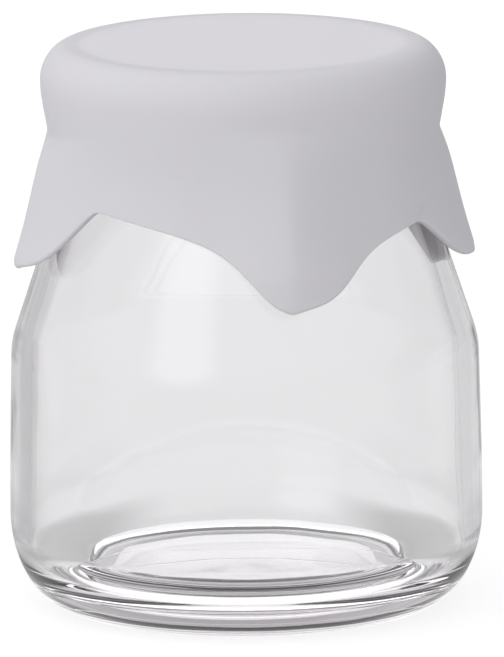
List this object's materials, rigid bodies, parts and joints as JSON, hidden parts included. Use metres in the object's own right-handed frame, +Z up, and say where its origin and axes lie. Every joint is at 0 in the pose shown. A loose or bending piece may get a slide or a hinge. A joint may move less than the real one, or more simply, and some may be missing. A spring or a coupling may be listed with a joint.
{
  "type": "lidded yogurt jar",
  "caption": "Small clear glass jar for setting and storing yogurt or pudding, with a soft white lift-off cap moulded like a draped square handkerchief.",
  "frame": {"origin": "centre of the foot ring, on the surface that the jar stands on", "axes": "+Z up along the jar's axis, out of its mouth; the front is towards -Y, with one cap corner 12 degrees to the right of it"},
  "size_m": [0.06, 0.06, 0.0719],
  "materials": {
    "clear_glass": "clear moulded container glass, glossy",
    "white_silicone": "matte, fine satin texture, cool white"
  },
  "bodies": {
    "jar": {"glass_jar": "clear_glass"},
    "cap": {"handkerchief_cap": "white_silicone"}
  },
  "joints": [
    {"name": "cap_lift", "type": "slide", "parent": "jar", "child": "cap", "axis": [0, 0, 1], "range_m": [0, 0.032]}
  ]
}
